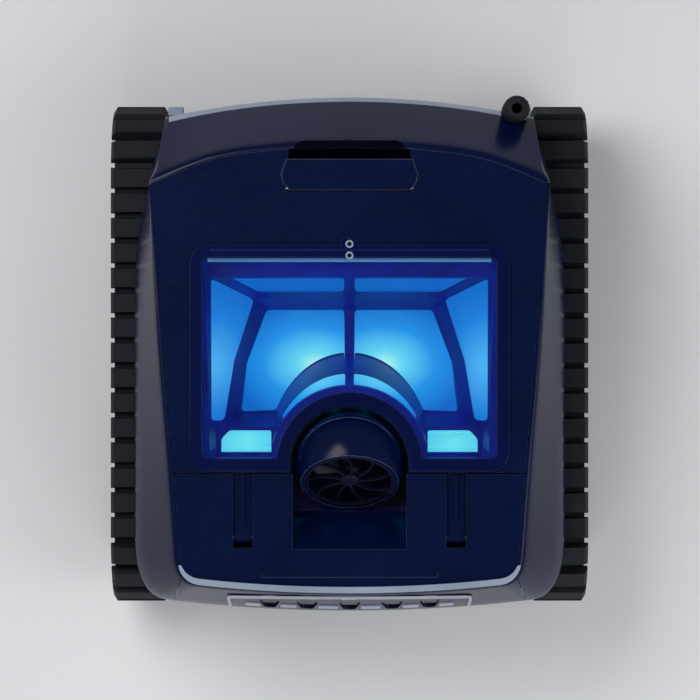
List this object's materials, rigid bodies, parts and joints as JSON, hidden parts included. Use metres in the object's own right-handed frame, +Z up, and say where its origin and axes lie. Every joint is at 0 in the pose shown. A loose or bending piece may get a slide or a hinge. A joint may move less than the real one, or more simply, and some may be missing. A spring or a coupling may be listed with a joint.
{
  "type": "robotic pool cleaner",
  "caption": "Tracked robotic pool cleaner: rubber track belts, hinged lid with a window over a lit filter canister, tilted jet outlet and nose brush.",
  "frame": {"origin": "on the floor under the middle of the machine's outline", "axes": "+Z up, +Y towards the nose with the brush and latch, +X to the right-hand track"},
  "size_m": [0.4, 0.427, 0.239],
  "materials": {
    "shell_gloss": "gloss",
    "trim_grey": "satin",
    "body_matte": "matte",
    "wheel_plastic": "matte",
    "track_rubber": "matte",
    "brush_rubber": "matte",
    "seal_rubber": "matte",
    "canister_blue": "gloss",
    "filter_mesh": "woven mesh",
    "flap_blue": "satin",
    "smoked_glass": "gloss",
    "steel": "brushed"
  },
  "bodies": {
    "chassis": {"nose_hood": "shell_gloss", "flank_left": "shell_gloss", "flank_right": "shell_gloss", "tail_hood": "shell_gloss", "outlet_ball": "shell_gloss", "corner_tab_left": "trim_grey", "corner_tab_right": "trim_grey", "nose_strip": "trim_grey", "tail_strip": "trim_grey", "tail_grille": "trim_grey", "chassis_tub": "body_matte", "electronics_box": "body_matte", "inlet_duct_left": "body_matte", "inlet_duct_right": "body_matte", "drive_motor_left": "body_matte", "drive_motor_right": "body_matte", "pump_motor": "body_matte", "pump_cradle": "body_matte", "side_frame_left": "body_matte", "side_frame_right": "body_matte", "outlet_guard": "body_matte", "track_belt_left": "track_rubber", "track_belt_right": "track_rubber", "cable_gland": "seal_rubber", "canister_frame": "canister_blue", "mesh_front_left": "filter_mesh", "mesh_front_right": "filter_mesh", "mesh_arch_left": "filter_mesh", "mesh_arch_right": "filter_mesh", "mesh_side_left": "filter_mesh", "mesh_side_right": "filter_mesh", "mesh_floor_left": "filter_mesh", "mesh_floor_right": "filter_mesh", "hinge_pin_left": "steel", "hinge_pin_right": "steel", "canister_rod": "steel"},
    "lid": {"lid": "shell_gloss", "window_bezel": "shell_gloss", "window_gasket": "seal_rubber", "window_pane": "smoked_glass", "indicator_ring_nose": "trim_grey", "indicator_ring_tail": "trim_grey", "latch_pin": "steel", "hinge_arm_left": "body_matte", "hinge_arm_right": "body_matte"},
    "latch": {"latch_paddle": "shell_gloss"},
    "flap_left": {"inlet_flap_left": "flap_blue"},
    "flap_right": {"inlet_flap_right": "flap_blue"},
    "rotor": {"propeller": "body_matte", "propeller_shaft": "steel"},
    "brush": {"brush_core": "body_matte", "brush_sleeve": "brush_rubber"},
    "sprocket_left": {"drive_sprocket_left": "wheel_plastic"},
    "idler_left": {"idler_wheel_left": "wheel_plastic"},
    "roller_nose_left": {"road_roller_nose_left": "wheel_plastic"},
    "roller_tail_left": {"road_roller_tail_left": "wheel_plastic"},
    "sprocket_right": {"drive_sprocket_right": "wheel_plastic"},
    "idler_right": {"idler_wheel_right": "wheel_plastic"},
    "roller_nose_right": {"road_roller_nose_right": "wheel_plastic"},
    "roller_tail_right": {"road_roller_tail_right": "wheel_plastic"}
  },
  "joints": [
    {"name": "lid_hinge", "type": "hinge", "parent": "chassis", "child": "lid", "pos_m": [0, -0.15, 0.201], "axis": [1, 0, 0], "range_deg": [0, 100]},
    {"name": "latch_lift", "type": "hinge", "parent": "lid", "child": "latch", "pos_m": [0, 0.135, 0.2076], "axis": [1, 0, 0], "range_deg": [0, 25], "stiffness_Nm_per_rad": 0.08, "springref_deg": -14.32},
    {"name": "propeller_spin", "type": "hinge", "parent": "chassis", "child": "rotor", "pos_m": [0, -0.091, 0.1965], "axis": [0, -0.8121, 0.5835], "continuous": true},
    {"name": "brush_spin", "type": "hinge", "parent": "chassis", "child": "brush", "pos_m": [0, 0.151, 0.033], "axis": [1, 0, 0], "continuous": true},
    {"name": "flap_left_swing", "type": "hinge", "parent": "chassis", "child": "flap_left", "pos_m": [-0.085, -0.079, 0.172], "axis": [1, 0, 0], "range_deg": [0, 65]},
    {"name": "drive_left_spin", "type": "hinge", "parent": "chassis", "child": "sprocket_left", "pos_m": [-0.176, -0.1475, 0.0625], "axis": [1, 0, 0], "continuous": true},
    {"name": "idler_left_spin", "type": "hinge", "parent": "chassis", "child": "idler_left", "pos_m": [-0.176, 0.1475, 0.0625], "axis": [1, 0, 0], "continuous": true},
    {"name": "roller_nose_left_spin", "type": "hinge", "parent": "chassis", "child": "roller_nose_left", "pos_m": [-0.176, 0.048, 0.0273], "axis": [1, 0, 0], "continuous": true},
    {"name": "roller_tail_left_spin", "type": "hinge", "parent": "chassis", "child": "roller_tail_left", "pos_m": [-0.176, -0.048, 0.0273], "axis": [1, 0, 0], "continuous": true},
    {"name": "flap_right_swing", "type": "hinge", "parent": "chassis", "child": "flap_right", "pos_m": [0.085, -0.079, 0.172], "axis": [1, 0, 0], "range_deg": [0, 65]},
    {"name": "drive_right_spin", "type": "hinge", "parent": "chassis", "child": "sprocket_right", "pos_m": [0.176, -0.1475, 0.0625], "axis": [1, 0, 0], "continuous": true},
    {"name": "idler_right_spin", "type": "hinge", "parent": "chassis", "child": "idler_right", "pos_m": [0.176, 0.1475, 0.0625], "axis": [1, 0, 0], "continuous": true},
    {"name": "roller_nose_right_spin", "type": "hinge", "parent": "chassis", "child": "roller_nose_right", "pos_m": [0.176, 0.048, 0.0273], "axis": [1, 0, 0], "continuous": true},
    {"name": "roller_tail_right_spin", "type": "hinge", "parent": "chassis", "child": "roller_tail_right", "pos_m": [0.176, -0.048, 0.0273], "axis": [1, 0, 0], "continuous": true}
  ],
  "couplings": [
    {"joint": "idler_left_spin", "follows": "drive_left_spin", "ratio": 1},
    {"joint": "roller_nose_left_spin", "follows": "drive_left_spin", "ratio": 3.3667},
    {"joint": "roller_tail_left_spin", "follows": "drive_left_spin", "ratio": 3.3667},
    {"joint": "idler_right_spin", "follows": "drive_right_spin", "ratio": 1},
    {"joint": "roller_nose_right_spin", "follows": "drive_right_spin", "ratio": 3.3667},
    {"joint": "roller_tail_right_spin", "follows": "drive_right_spin", "ratio": 3.3667}
  ]
}
